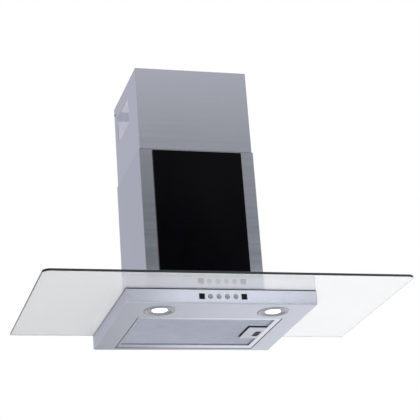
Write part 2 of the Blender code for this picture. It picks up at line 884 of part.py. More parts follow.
# ---------------------------------------------------------------- controls
guides = Form()
for bx in BUTTON_X:
    guides.cyl("y", bx, BUTTON_Z, 0.0028, (-0.410, -0.390), 12)
node(
    "button_housing",
    BLACK_PLASTIC,
    Form().box((-0.0660, 0.0660), (-0.4045, -0.3965), (-0.0330, -0.0060)),
    cut=[
        Form().box((-0.0645, 0.0645), (-0.4100, -0.4010), (-0.0315, -0.0075)),
        Form().box((-0.0645, 0.0645), (-0.3985, -0.3900), (-0.0315, -0.0075)),
        guides,
    ],
)
node(
    "control_board",
    GREEN_BOARD,
    Form().box((-0.0660, 0.0660), (-0.3962, -0.3946), (-0.0330, -0.0060)),
)
NAMES = (
    "button_square_left",
    "button_round_1",
    "button_round_2",
    "button_round_3",
    "button_round_4",
    "button_square_right",
)
for name, bx in zip(NAMES, BUTTON_X):
    stem = Form().cyl("y", bx, BUTTON_Z, 0.0025, (-0.4040, -0.3986), 10)
    if "square" in name:
        low, high = 0.00675, 0.0076
        node(
            name,
            BLACK_PLASTIC,
            Form().box(
                (bx - low, bx + low), (-0.4076, -0.4034), (BUTTON_Z - low, BUTTON_Z + low)
            ),
            add=[
                Form().box(
                    (bx - high, bx + high),
                    (-0.4046, -0.4036),
                    (BUTTON_Z - high, BUTTON_Z + high),
                ),
                stem,
            ],
            pivot=(bx, -0.4055, BUTTON_Z),
        )
    else:
        node(
            name,
            CHROME,
            Form().lathe(
                "y",
                bx,
                BUTTON_Z,
                [
                    (0.0, -0.4080),
                    (0.0050, -0.4078),
                    (0.0058, -0.4072),
                    (0.0058, -0.4046),
                    (0.0068, -0.4046),
                    (0.0068, -0.4036),
                    (0.0, -0.4036),
                ],
                16,
            ),
            add=[stem],
            pivot=(bx, -0.4055, BUTTON_Z),
            smooth=True,
        )

# ---------------------------------------------------------------- fasteners
for number, (sx, sy) in enumerate(SCREWS, 1):
    profile = [(0.0, -0.0100), (0.0022, -0.0100), (0.0022, 0.0076)]
    profile += [(0.0042, 0.0076), (0.0042, 0.0098), (0.0, 0.0106)]
    node(
        f"glass_screw_{number}",
        ZINC,
        Form().lathe("z", sx, sy, profile, 16),
        smooth=True,
    )
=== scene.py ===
"""Looks of the wall-mounted range hood: fine surfaces, materials, light and camera."""

import json
import math

import bmesh
import bpy
from mathutils import Matrix, Vector


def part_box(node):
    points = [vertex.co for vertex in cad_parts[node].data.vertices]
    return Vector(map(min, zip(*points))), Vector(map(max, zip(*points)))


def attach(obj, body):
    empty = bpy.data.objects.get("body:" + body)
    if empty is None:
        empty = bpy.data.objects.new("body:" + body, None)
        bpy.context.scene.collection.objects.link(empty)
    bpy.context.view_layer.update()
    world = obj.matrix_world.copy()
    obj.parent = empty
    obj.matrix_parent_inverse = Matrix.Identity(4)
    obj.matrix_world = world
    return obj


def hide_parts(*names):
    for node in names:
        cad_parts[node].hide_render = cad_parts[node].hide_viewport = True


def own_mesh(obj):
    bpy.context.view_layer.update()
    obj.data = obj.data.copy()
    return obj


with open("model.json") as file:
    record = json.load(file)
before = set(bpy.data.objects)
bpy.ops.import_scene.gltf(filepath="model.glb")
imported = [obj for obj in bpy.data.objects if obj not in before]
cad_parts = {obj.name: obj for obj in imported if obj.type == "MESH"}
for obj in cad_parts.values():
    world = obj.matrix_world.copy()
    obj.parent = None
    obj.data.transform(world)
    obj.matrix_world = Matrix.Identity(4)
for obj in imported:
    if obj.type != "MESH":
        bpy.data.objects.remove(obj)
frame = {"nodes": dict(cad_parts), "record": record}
nodes = frame["nodes"]
record = frame["record"]
OWNER = {n: body for body, names in record["behaviour"]["bodies"].items() for n in names}
SLOT = {row["node"]: row["material_slot"] for row in record["subparts"]}
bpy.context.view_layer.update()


def near(node):
    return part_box(node)[0]


def far(node):
    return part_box(node)[1]


GLASS_Z = near("glass_canopy").z  # underside of the glass
BODY_LOW, BODY_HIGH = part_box("canopy_body")

# =====================================================================
# camera
# =====================================================================
eye = Vector((-1.00090, -3.69303, GLASS_Z - 1.07358))
right = Vector((0.96278229, -0.26096671, -0.07033229))
down = Vector((0.02768672, 0.35408063, -0.93480498))
ahead = Vector((0.26885628, 0.89806641, 0.34812787))
camera = bpy.data.objects.new("camera", bpy.data.cameras.new("camera"))
bpy.context.scene.collection.objects.link(camera)
camera.data.sensor_width = 36.0
camera.data.lens = 129.22
camera.data.clip_start, camera.data.clip_end = 0.05, 200.0
basis = Matrix((right, -down, -ahead)).transposed().to_4x4()
basis.translation = eye
camera.matrix_world = basis
bpy.context.scene.camera = camera


# =====================================================================
# materials
# =====================================================================
class Nodes:
    """A short way to build a node material."""

    def __init__(self, name):
        self.material = bpy.data.materials.new(name)
        self.material.use_nodes = True
        self.tree = self.material.node_tree
        self.shader = self.tree.nodes["Principled BSDF"]
        self.output = self.tree.nodes["Material Output"]

    def add(self, kind, **settings):
        node = self.tree.nodes.new(kind)
        for key, value in settings.items():
            setattr(node, key, value)
        return node

    def wire(self, source, target):
        self.tree.links.new(source, target)

    def put(self, **values):
        for key, value in values.items():
            self.shader.inputs[key.replace("_", " ")].default_value = value
        return self

    def place(self, scale, turn=(0, 0, 0)):
        where = self.add("ShaderNodeTexCoord")
        mapping = self.add("ShaderNodeMapping")
        mapping.inputs["Scale"].default_value = scale
        mapping.inputs["Rotation"].default_value = turn
        self.wire(where.outputs["Object"], mapping.inputs["Vector"])
        return mapping.outputs["Vector"]

    def noise(self, scale, size=1.0, detail=4.0, rough=0.55):
        made = self.add("ShaderNodeTexNoise")
        made.inputs["Scale"].default_value = size
        made.inputs["Detail"].default_value = detail
        made.inputs["Roughness"].default_value = rough
        self.wire(self.place(scale), made.inputs["Vector"])
        return made.outputs["Fac"]

    def ramp(self, fac, stops):
        made = self.add("ShaderNodeValToRGB")
        ramp = made.color_ramp
        while len(ramp.elements) < len(stops):
            ramp.elements.new(0.5)
        for element, (at, colour) in zip(ramp.elements, stops):
            element.position = at
            element.color = (*colour, 1.0) if len(colour) == 3 else colour
        self.wire(fac, made.inputs["Fac"])
        return made.outputs["Color"]

    def span(self, fac, low, high, start=0.0, end=1.0):
        made = self.add("ShaderNodeMapRange")
        made.inputs["From Min"].default_value = start
        made.inputs["From Max"].default_value = end
        made.inputs["To Min"].default_value = low
        made.inputs["To Max"].default_value = high
        self.wire(fac, made.inputs["Value"])
        return made.outputs["Result"]

    def math(self, operation, a, b=0.0):
        made = self.add("ShaderNodeMath", operation=operation)
        for socket, value in zip(made.inputs, (a, b)):
            if hasattr(value, "is_linked"):
                self.wire(value, socket)
            else:
                socket.default_value = value
        return made.outputs[0]

    def choose(self, fac, a, b):
        """a where fac is 0 and b where it is 1, on plain numbers."""
        made = self.add("ShaderNodeMix", data_type="FLOAT")
        self.wire(fac, made.inputs[0])
        self.wire(a, made.inputs[2])
        self.wire(b, made.inputs[3])
        return made.outputs[0]

    def bump(self, height, strength, distance):
        made = self.add("ShaderNodeBump")
        made.inputs["Strength"].default_value = strength
        made.inputs["Distance"].default_value = distance
        self.wire(height, made.inputs["Height"])
        self.wire(made.outputs["Normal"], self.shader.inputs["Normal"])
        return self


def brushed(name, tone, rough=0.26, grain=1.0, across=None, rising=None):
    """Stainless sheet: long fine scratches, level on upright faces and along X underneath.

    across, rising: (place, factor) stops of painted light and shade along X and up Z: brightness factors that stand in
    for the sheet's broad reflections.
    """
    m = Nodes(name).put(Metallic=1.0)
    geometry = m.add("ShaderNodeNewGeometry")
    split = m.add("ShaderNodeSeparateXYZ")
    m.wire(geometry.outputs["True Normal"], split.inputs[0])
    level = m.math("ABSOLUTE", split.outputs[2])
    level = m.math("GREATER_THAN", level, 0.7)
    fine = m.choose(
        level,
        m.noise((5, 5, 1500), 1.0, 3.0, 0.6),
        m.noise((5, 1500, 5), 1.0, 3.0, 0.6),
    )
    broad = m.choose(
        level,
        m.noise((1.6, 1.6, 90), 1.0, 4.0, 0.65),
        m.noise((1.6, 90, 1.6), 1.0, 4.0, 0.65),
    )
    marks = m.noise((9, 9, 9), 1.0, 5.0, 0.6)
    both = m.math("ADD", m.math("MULTIPLY", fine, 0.45), m.math("MULTIPLY", broad, 0.35))
    both = m.math("ADD", both, m.math("MULTIPLY", marks, 0.20))
    low = [c * (1 - 0.10 * grain) for c in tone]
    high = [min(1.0, c * (1 + 0.10 * grain)) for c in tone]
    colour = m.ramp(both, ((0.30, low), (0.70, high)))
    # painted light and shade: the across and rising ramps multiply the colour to stand in for reflections
    for axis, changes in ((0, across), (2, rising)):
        if not changes:
            continue
        where = m.add("ShaderNodeSeparateXYZ")
        m.wire(m.place((1, 1, 1)), where.inputs[0])
        along = m.span(where.outputs[axis], 0.0, 1.0, changes[0][0], changes[-1][0])
        length = changes[-1][0] - changes[0][0]
        stops = [((x - changes[0][0]) / length, (f, f, f)) for x, f in changes]
        blend = m.add("ShaderNodeMix", data_type="RGBA", blend_type="MULTIPLY")
        blend.inputs[0].default_value = 1.0
        m.wire(colour, blend.inputs[6])
        m.wire(m.ramp(along, stops), blend.inputs[7])
        colour = blend.outputs[2]
    m.wire(colour, m.shader.inputs["Base Color"])
    m.wire(
        m.span(both, rough - 0.05, rough + 0.05, 0.3, 0.7),
        m.shader.inputs["Roughness"],
    )
    m.bump(fine, 0.10 * grain, 0.0002)
    return m.material


def turned(name, tone, rough=0.2, pitch=1600.0):
    """Metal with a fine lathe finish."""
    m = Nodes(name).put(Metallic=1.0)
    rings = m.noise((pitch, pitch, pitch), 0.35, 2.0, 0.5)
    cloud = m.noise((30, 30, 30), 1.0, 4.0, 0.6)
    mix = m.math("ADD", m.math("MULTIPLY", rings, 0.4), m.math("MULTIPLY", cloud, 0.6))
    low, high = [c * 0.90 for c in tone], [min(1, c * 1.08) for c in tone]
    m.wire(m.ramp(mix, ((0.3, low), (0.7, high))), m.shader.inputs["Base Color"])
    m.wire(m.span(mix, rough - 0.05, rough + 0.08, 0.3, 0.7), m.shader.inputs["Roughness"])
    m.bump(rings, 0.05, 0.0001)
    return m.material


def galvanised(name):
    """Zinc-coated sheet with its spangle of flat crystals."""
    m = Nodes(name).put(Metallic=1.0)
    cells = m.add("ShaderNodeTexVoronoi")
    cells.inputs["Scale"].default_value = 1.0
    m.wire(m.place((110, 110, 110)), cells.inputs["Vector"])
    grey = m.add("ShaderNodeSeparateColor")
    m.wire(cells.outputs["Color"], grey.inputs[0])
    cloud = m.noise((40, 40, 40), 1.0, 5.0, 0.6)
    mix = m.math("ADD", m.math("MULTIPLY", grey.outputs[0], 0.6), m.math("MULTIPLY", cloud, 0.4))
    m.wire(
        m.ramp(mix, ((0.1, (0.50, 0.51, 0.52)), (0.9, (0.60, 0.61, 0.62)))),
        m.shader.inputs["Base Color"],
    )
    m.wire(m.span(mix, 0.30, 0.50), m.shader.inputs["Roughness"])
    m.bump(cloud, 0.06, 0.0003)
    return m.material


def plastic(name, colour, rough=0.4, texture=700.0, strength=0.12, coat=0.0, level=0.4):
    """Moulded plastic with a fine spark-eroded grain."""
    m = Nodes(name).put(Coat_Weight=coat, Coat_Roughness=0.08, Specular_IOR_Level=level)
    grain = m.noise((texture,) * 3, 1.0, 3.0, 0.6)
    cloud = m.noise((18, 18, 18), 1.0, 4.0, 0.6)
    low = [c * 0.82 for c in colour]
    high = [min(1.0, c * 1.15 + 0.002) for c in colour]
    m.wire(m.ramp(cloud, ((0.3, low), (0.7, high))), m.shader.inputs["Base Color"])
    m.wire(m.span(grain, rough - 0.06, rough + 0.08, 0.3, 0.7), m.shader.inputs["Roughness"])
    m.bump(grain, strength, 0.0002)
    return m.material


def rubber(name):
    m = Nodes(name).put(Specular_IOR_Level=0.25)
    grain = m.noise((900, 900, 900), 1.0, 4.0, 0.6)
    dust = m.noise((35, 35, 35), 1.0, 5.0, 0.65)
    m.wire(
        m.ramp(dust, ((0.3, (0.018, 0.019, 0.022)), (0.75, (0.040, 0.041, 0.046)))),
        m.shader.inputs["Base Color"],
    )
    m.wire(m.span(dust, 0.70, 0.88, 0.3, 0.7), m.shader.inputs["Roughness"])
    m.bump(grain, 0.2, 0.0002)
    return m.material


def black_glass(name):
    """Back-painted glass: deep black with a clean polish and the faintest smears."""
    m = Nodes(name).put(IOR=1.5, Coat_Weight=0.0)
    smear = m.noise((7, 7, 3), 1.0, 5.0, 0.6)
    dots = m.noise((400, 400, 400), 1.0, 2.0, 0.5)
    m.wire(
        m.ramp(smear, ((0.3, (0.0016, 0.0014, 0.0022)), (0.7, (0.0030, 0.0026, 0.0038)))),
        m.shader.inputs["Base Color"],
    )
    m.wire(m.span(smear, 0.03, 0.07, 0.3, 0.7), m.shader.inputs["Roughness"])
    m.put(Specular_IOR_Level=0.08)
    m.bump(dots, 0.005, 0.0001)
    return m.material


def clear_glass(name):
    """Toughened float glass, seen through its flat faces."""
    m = Nodes(name).put(Transmission_Weight=0.70, IOR=1.70)
    wave = m.noise((6, 6, 6), 1.0, 2.0, 0.5)
    m.wire(m.span(wave, 0.0, 0.008, 0.35, 0.75), m.shader.inputs["Roughness"])
    m.wire(
        m.ramp(wave, ((0.3, (0.965, 0.975, 0.985)), (0.7, (0.975, 0.983, 0.990)))),
        m.shader.inputs["Base Color"],
    )
    m.bump(wave, 0.004, 0.0001)
    return m.material


def glass_edge(name):
    """The polished rim, where the long way through the sheet shows its dark green."""
    m = Nodes(name).put(IOR=1.5, Specular_IOR_Level=0.35)
    wave = m.noise((14, 14, 260), 1.0, 3.0, 0.6)
    m.wire(
        m.ramp(
            wave,
            ((0.25, (0.003, 0.008, 0.009)), (0.55, (0.005, 0.017, 0.018)), (0.8, (0.012, 0.040, 0.038))),
        ),
        m.shader.inputs["Base Color"],
    )
    m.wire(m.span(wave, 0.05, 0.16, 0.3, 0.7), m.shader.inputs["Roughness"])
    m.bump(wave, 0.05, 0.0002)
    return m.material


def lamp_glow(name):
    """The lit diffusing lens: brightest in the middle, with a fine prismatic grain."""
    m = Nodes(name).put(Roughness=0.3, Emission_Strength=3.2)
    grain = m.add("ShaderNodeTexVoronoi")
    grain.inputs["Scale"].default_value = 1.0
    m.wire(m.place((420, 420, 420)), grain.inputs["Vector"])
    m.wire(
        m.ramp(grain.outputs["Distance"], ((0.0, (1.0, 1.0, 0.985)), (0.9, (0.93, 0.95, 0.93)))),
        m.shader.inputs["Base Color"],
    )
    m.wire(
        m.ramp(grain.outputs["Distance"], ((0.0, (1.0, 1.0, 0.98)), (0.9, (0.90, 0.93, 0.90)))),
        m.shader.inputs["Emission Color"],
    )
    m.bump(grain.outputs["Distance"], 0.1, 0.0003)
    return m.material


def circuit_board(name):
    m = Nodes(name)
    tracks = m.add("ShaderNodeTexBrick")
    tracks.inputs["Scale"].default_value = 1.0
    m.wire(m.place((260, 260, 260), (math.pi / 2, 0, 0)), tracks.inputs["Vector"])
    tracks.inputs["Color1"].default_value = (0.010, 0.120, 0.045, 1)
    tracks.inputs["Color2"].default_value = (0.014, 0.150, 0.055, 1)
    tracks.inputs["Mortar"].default_value = (0.05, 0.26, 0.10, 1)
    m.wire(tracks.outputs["Color"], m.shader.inputs["Base Color"])
    m.wire(m.span(tracks.outputs["Fac"], 0.25, 0.40), m.shader.inputs["Roughness"])
    m.bump(tracks.outputs["Fac"], 0.2, 0.0001)
    return m.material


def tone(value):
    """Cool stainless at this brightness."""
    return (0.945 * value, 0.985 * value, 1.12 * value)


M = {
    "body": brushed("brushed_body", tone(0.645), 0.36, 0.5),
    # painted light and shade on the fascia: its ramp across X paints a broad highlight left of the middle that fades
    # darker towards both ends, and its ramp up Z darkens it towards the bottom, standing in for reflections
    "fascia": brushed(
        "brushed_fascia",
        tone(0.80),
        0.24,
        0.5,
        ((-0.24, 0.65), (-0.19, 0.71), (-0.11, 0.96), (0.0, 1.0), (0.08, 1.0), (0.14, 0.95), (0.24, 0.83)),
        ((GLASS_Z - 0.0345, 0.74), (GLASS_Z - 0.028, 0.86), (GLASS_Z - 0.019, 0.97), (GLASS_Z, 1.0)),
    ),
    # painted light and shade on the lower cover: a darker tone than the upper cover's for the same steel, and a ramp
    # across X that lightens the left face and runs the front from darker at the left to lighter at the right, standing
    # in for reflections
    "lower": brushed("brushed_lower_cover", tone(0.50), 0.20, 0.5, ((-0.1512, 1.04), (-0.1485, 0.92), (0.1200, 1.05), (0.1485, 1.08))),
    "upper": brushed("brushed_upper_cover", tone(0.57), 0.20, 0.5),
    "filter": brushed("brushed_filter_frame", tone(0.72), 0.26, 0.5),
    "plate": brushed("brushed_latch_plate", tone(0.53), 0.30, 0.5),
    "button": turned("button_metal", (0.40, 0.42, 0.45), 0.20),
    "backing": turned("filter_backing", (0.42, 0.44, 0.50), 0.45, 1200.0),
    "slot": plastic("recess_grey", (0.045, 0.048, 0.060), 0.5),
    "rim": plastic("lamp_rim", (0.25, 0.265, 0.28), 0.26, 500.0, 0.05),
    "bezel": turned("bezel_metal", (0.41, 0.43, 0.47), 0.24, 1100.0),
    "mesh": turned("expanded_aluminium", (0.79, 0.82, 0.91), 0.32, 2400.0),
    "zinc": galvanised("zinc_sheet"),
    "fastener": turned("zinc_plated", (0.60, 0.60, 0.59), 0.28),
    "chrome": turned("satin_chrome", (0.62, 0.64, 0.66), 0.18),
    "alloy": turned("cast_alloy", (0.55, 0.56, 0.58), 0.42, 900.0),
    "flap": turned("flap_sheet", (0.62, 0.63, 0.65), 0.35, 700.0),
    "panel": black_glass("black_glass"),
    "glass": clear_glass("clear_glass"),
    "edge": glass_edge("glass_edge"),
    "rubber": rubber("black_rubber"),
    "black": plastic("black_plastic", (0.020, 0.020, 0.023), 0.42),
    "gloss": plastic("gloss_black_plastic", (0.0035, 0.0035, 0.0045), 0.16, 900.0, 0.03, level=0.15),
    "white": plastic("white_plastic", (0.72, 0.72, 0.70), 0.45),
    "grey": plastic("grey_plastic", (0.10, 0.105, 0.12), 0.45),
    "motor": plastic("motor_enamel", (0.055, 0.056, 0.062), 0.38, 300.0, 0.2),
    "board": circuit_board("circuit_board"),
    "glow": lamp_glow("lamp_glow"),
}


def dress(obj, *keys):
    obj.data.materials.clear()
    for key in keys:
        obj.data.materials.append(M[key])
    return obj


# =====================================================================
# geometry helpers
# =====================================================================
def crisp(obj):
    """Keeps flat faces flat beside their rounded edges."""
    for modifier in [m for m in obj.modifiers if m.type == "WEIGHTED_NORMAL"]:
        obj.modifiers.remove(modifier)
    modifier = obj.modifiers.new("flat_faces", "WEIGHTED_NORMAL")
    modifier.weight = 100
    modifier.keep_sharp = True
    return obj


def made(name, bm, body=None, mats=(), replaced=(), slot=None, smooth=True, angle=32):
    bmesh.ops.recalc_face_normals(bm, faces=bm.faces[:])
    mesh = bpy.data.meshes.new(name)
    bm.to_mesh(mesh)
    bm.free()
    obj = bpy.data.objects.new(name, mesh)
    bpy.context.scene.collection.objects.link(obj)
    if smooth:
        mesh.shade_smooth()
        mesh.set_sharp_from_angle(angle=math.radians(angle))
        crisp(obj)
    if mats:
        dress(obj, *mats)
    if body:
        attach(obj, body)
        if replaced:
            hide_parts(*replaced)
    return obj


def add_box(bm, low, high):
    verts = bmesh.ops.create_cube(bm, size=1.0)["verts"]
    for v in verts:
        v.co = Vector(
            [low[i] if v.co[i] < 0 else high[i] for i in range(3)]
        )
    return verts


def add_prism(bm, outline, axis, span):
    def at(a, b, h):
        return {"z": (a, b, h), "x": (h, a, b), "y": (a, h, b)}[axis]

    rings = [[bm.verts.new(at(a, b, h)) for a, b in outline] for h in span]
    bm.faces.new(rings[0])
    bm.faces.new(rings[1][::-1])
    count = len(outline)
    for i in range(count):
        j = (i + 1) % count
        bm.faces.new((rings[0][i], rings[0][j], rings[1][j], rings[1][i]))


def add_lathe(bm, axis, a, b, profile, segments, closed=True):
    def at(r, h, t):
        p, q = a + r * math.cos(t), b + r * math.sin(t)
        return {"z": (p, q, h), "x": (h, p, q), "y": (p, h, q)}[axis]

    rings = []
    for r, h in profile:
        if r < 1e-7:
            rings.append([bm.verts.new(at(0, h, 0))])
        else:
            rings.append(
                [bm.verts.new(at(r, h, 2 * math.pi * i / segments)) for i in range(segments)]
            )
    following = rings[1:] + rings[:1] if closed else rings[1:]
    for first, second in zip(rings, following):
        if len(first) == 1 and len(second) == 1:
            continue
        for i in range(segments):
            j = (i + 1) % segments
            if len(first) == 1:
                bm.faces.new((first[0], second[j], second[i]))
            elif len(second) == 1:
                bm.faces.new((first[i], first[j], second[0]))
            else:
                bm.faces.new((first[i], first[j], second[j], second[i]))


def rounded(x, y, radii, steps=8):
    """Outline of a rectangle; radii for the corners (x0,y0), (x1,y0), (x1,y1), (x0,y1)."""
    corners = ((x[0], y[0], 180), (x[1], y[0], 270), (x[1], y[1], 0), (x[0], y[1], 90))
    outline = []
    for (cx, cy, start), radius in zip(corners, radii):
        if radius <= 0:
            outline.append((cx, cy))
            continue
        mx = cx + radius * (1 if cx == x[0] else -1)
        my = cy + radius * (1 if cy == y[0] else -1)
        for i in range(steps + 1):
            t = math.radians(start + 90 * i / steps)
            outline.append((mx + radius * math.cos(t), my + radius * math.sin(t)))
    return outline


def carve(obj, *cutters):
    """Cuts each bmesh from obj and keeps the result as plain geometry."""
    helpers = []
    for number, bm in enumerate(cutters):
        helper = made(f"{obj.name}.cut{number}", bm, smooth=False)
        modifier = obj.modifiers.new(helper.name, "BOOLEAN")
        modifier.operation = "DIFFERENCE"
        modifier.solver = "EXACT"
        modifier.object = helper
        helpers.append(helper)
    settle(obj)
    for helper in helpers:
        mesh = helper.data
        bpy.data.objects.remove(helper)
        bpy.data.meshes.remove(mesh)
    return obj


def settle(obj, angle=32):
    """Applies obj's modifiers."""
    bpy.context.view_layer.update()
    graph = bpy.context.evaluated_depsgraph_get()
    mesh = bpy.data.meshes.new_from_object(obj.evaluated_get(graph), depsgraph=graph)
    obj.modifiers.clear()
    old, obj.data = obj.data, mesh
    bpy.data.meshes.remove(old)
    obj.data.shade_smooth()
    obj.data.set_sharp_from_angle(angle=math.radians(angle))
    return crisp(obj)


def soften(obj, width, segments=2, angle=40):
    """A small round on the sharp edges, which catches the light."""
    modifier = obj.modifiers.new("soft_edges", "BEVEL")
    modifier.width = width
    modifier.segments = segments
    modifier.limit_method = "ANGLE"
    modifier.angle_limit = math.radians(angle)
    modifier.use_clamp_overlap = True
    return crisp(obj)


def refined(node, key, width=0.0, segments=2, angle=35):
    """A finely edged copy of a CAD piece, which stands in for it."""
    bm = bmesh.new()
    bm.from_mesh(nodes[node].data)
    bmesh.ops.remove_doubles(bm, verts=bm.verts[:], dist=0.00001)
    bmesh.ops.dissolve_limit(
        bm, angle_limit=math.radians(0.6), verts=bm.verts[:], edges=bm.edges[:]
    )
    obj = made(f"{node}_fine", bm, OWNER[node], (key,), (node,), SLOT[node], angle=angle)
    if width:
        soften(obj, width, segments, angle + 5)
    return obj


def cylinder(axis, a, b, r, span, segments=64):
    bm = bmesh.new()
    outline = [
        (a + r * math.cos(2 * math.pi * i / segments), b + r * math.sin(2 * math.pi * i / segments))
        for i in range(segments)
    ]
    add_prism(bm, outline, axis, span)
    return bm


def block(low, high):
    bm = bmesh.new()
    add_box(bm, low, high)
    return bm


# =====================================================================
# glass canopy
# =====================================================================
low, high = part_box("glass_canopy")
bm = bmesh.new()
add_prism(
    bm, rounded((low.x, high.x), (low.y, high.y), (0.018, 0.018, 0.0015, 0.0015), 14), "z", (low.z, high.z)
)
sheet = made("glass_sheet", bm, "hood", ("glass", "edge"), ("glass_canopy",), "clear_glass")
notch = bmesh.new()
housing_low, housing_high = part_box("motor_housing")
add_prism(
    notch,
    rounded((-0.1245, 0.1245), (-0.2535, 0.02), (0.008, 0.008, 0, 0), 8),
    "z",
    (low.z - 0.01, high.z + 0.01),
)
holes = bmesh.new()
for n in range(1, 5):
    a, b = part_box(f"glass_screw_{n}")
    mid = (a + b) / 2
    outline = [
        (mid.x + 0.0035 * math.cos(math.tau * i / 24), mid.y + 0.0035 * math.sin(math.tau * i / 24))
        for i in range(24)
    ]
    add_prism(holes, outline, "z", (low.z - 0.01, high.z + 0.01))
carve(sheet, notch, holes)
soften(sheet, 0.0009, 3, 50)
settle(sheet, 50)
for face in sheet.data.polygons:
    face.material_index = 0 if abs(face.normal.z) > 0.93 else 1
    face.use_smooth = abs(face.normal.z) < 0.999
sheet.modifiers.clear()

# gasket under the glass, flush with the body's front and sides
low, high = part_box("glass_gasket")
bm = bmesh.new()
x0, x1, y0, y1, inside = -0.2358, 0.2358, -0.4058, high.y, 0.0092
ring = [(-0.1245, y1), (x0, y1), (x0, y0), (x1, y0), (x1, y1), (0.1245, y1)]
ring += [(0.1245, y1 - 0.008), (x1 - inside, y1 - 0.008), (x1 - inside, y0 + inside)]
ring += [(x0 + inside, y0 + inside), (x0 + inside, y1 - 0.008), (-0.1245, y1 - 0.008)]
add_prism(bm, ring, "z", (low.z, high.z))
gasket = made("gasket_profile", bm, "hood", ("rubber",), ("glass_gasket",), "rubber")
soften(gasket, 0.0005, 3)

# =====================================================================
# canopy body: folded steel tray
# =====================================================================
low, high = BODY_LOW, BODY_HIGH
T = 0.001
bm = bmesh.new()
add_box(bm, low, high)
under = [
    e
    for e in bm.edges
    if all(abs(v.co.z - low.z) < 1e-6 for v in e.verts)
    or (all(v.co.y > -0.01 for v in e.verts) and abs(e.verts[0].co.z - e.verts[1].co.z) > 0.01)
]
bmesh.ops.bevel(bm, geom=under, offset=0.0024, segments=5, profile=0.5, affect="EDGES", clamp_overlap=True)
tray = made("canopy_tray", bm, "hood", ("body",), ("canopy_body",), "brushed_steel")
inner = bmesh.new()
add_box(inner, (low.x + T, low.y + T, low.z + T), (high.x - T, high.y - T, high.z - T))
under = [e for e in inner.edges if all(abs(v.co.z - low.z - T) < 1e-6 for v in e.verts)]
bmesh.ops.bevel(inner, geom=under, offset=0.0014, segments=5, profile=0.5, affect="EDGES")
open_low, open_high = (-0.1836, -0.2908), (0.1844, -0.0168)
front = block((low.x + T, low.y - 0.01, GLASS_Z - 0.0343), (high.x - T, low.y + T + 0.0003, high.z + 0.01))
mouth = bmesh.new()
add_prism(
    mouth,
    rounded((open_low[0], open_high[0]), (open_low[1], open_high[1]), (0.001,) * 4, 3),
    "z",
    (low.z - 0.01, low.z + 0.008),
)
lamp_holes = bmesh.new()
for side in ("left", "right"):
    a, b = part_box(f"lamp_bezel_{side}")
    mid = (a + b) / 2
    outline = [
        (mid.x + 0.0376 * math.cos(math.tau * i / 72), mid.y + 0.0376 * math.sin(math.tau * i / 72))
        for i in range(72)
    ]
    add_prism(lamp_holes, outline, "z", (low.z - 0.01, low.z + 0.008))
top_cut = block((-0.105, -0.234, high.z - 0.003), (0.105, -0.018, high.z + 0.01))
screw_cuts = bmesh.new()
for n in ("glass_screw_1", "glass_screw_2", "glass_screw_3", "glass_screw_4", "housing_screw_left", "housing_screw_right"):
    a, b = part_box(n)
    mid = (a + b) / 2
    outline = [
        (mid.x + 0.0026 * math.cos(math.tau * i / 16), mid.y + 0.0026 * math.sin(math.tau * i / 16))
        for i in range(16)
    ]
    add_prism(screw_cuts, outline, "z", (high.z - 0.003, high.z + 0.01))
carve(tray, inner, front, mouth, lamp_holes, top_cut, screw_cuts)

# stiffening rails in front of and behind the filter opening, folded from the sheet
for name, y, turn in (("filter_rail_front", open_low[1] - 0.0020, -1), ("filter_rail_back", open_high[1] + 0.0012, 1)):
    bm = bmesh.new()
    z0, z1 = low.z + T + 0.0001, low.z + 0.0150
    profile = [(y, z0), (y, z1), (y + turn * 0.007, z1), (y + turn * 0.007, z1 - 0.0008), (y + turn * 0.0008, z1 - 0.0008), (y + turn * 0.0008, z0)]
    add_prism(bm, profile, "x", (open_low[0] + 0.01, open_high[0] - 0.01))
    rail = made(name, bm, "hood", ("body",), (), "brushed_steel")
    soften(rail, 0.0002)

# black foam seals on the tray, behind the gaps at the filter's right and back edges; their black also stands in for
# the shade in those gaps, as painted shade
shade_seal_z = (low.z + 0.0002, low.z + 0.0068)
for name, body, x, y in (
    ("filter_seal_right_front", "hood", (0.1819, open_high[0] - 0.0002), (open_low[1] + 0.0004, -0.1660)),
    ("filter_seal_right_back", "hood", (0.1819, open_high[0] - 0.0002), (-0.1450, open_high[1] - 0.0002)),
    ("filter_seal_back", "hood", (open_low[0] + 0.0006, 0.1816), (-0.0216, open_high[1] - 0.0002)),
    ("filter_seal_left", "filter", (-0.1827, -0.18115), (-0.2790, -0.0240)),
):
    shade_seal = made(name, block((x[0], y[0], shade_seal_z[0]), (x[1], y[1], shade_seal_z[1])), body, ("rubber",), (), "rubber")
    soften(shade_seal, 0.0003, 2)

# fascia with eased edges
refined("front_fascia", "fascia", 0.00035, 2)


# =====================================================================
# chimney covers: folded U sections with rounded corners
# =====================================================================
def cover(name, node, body, mat, wall, returns, corner):
    low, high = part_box(node)
    half, front, back = high.x, low.y, high.y

    def path(inset):
        """Half of the section from the return's tip round to the middle of the front."""
        points = [(-half + wall + returns, back - inset if inset else back)]
        r = max(corner - inset, 0.0002)
        for cx, cy, start in ((-half + corner, back - corner, 90), (-half + corner, front + corner, 180)):
            for i in range(7):
                t = math.radians(start + 90 * i / 6)
                points.append((cx + r * math.cos(t), cy + r * math.sin(t)))
        return points

    outer, inner_path = path(0), path(wall)
    outer += [(-x, y) for x, y in outer[::-1]]
    inner_path += [(-x, y) for x, y in inner_path[::-1]]
    outline = outer + inner_path[::-1]
    bm = bmesh.new()
    add_prism(bm, outline, "z", (low.z, high.z))
    return made(name, bm, body, (mat,), (node,), "brushed_steel", angle=28)


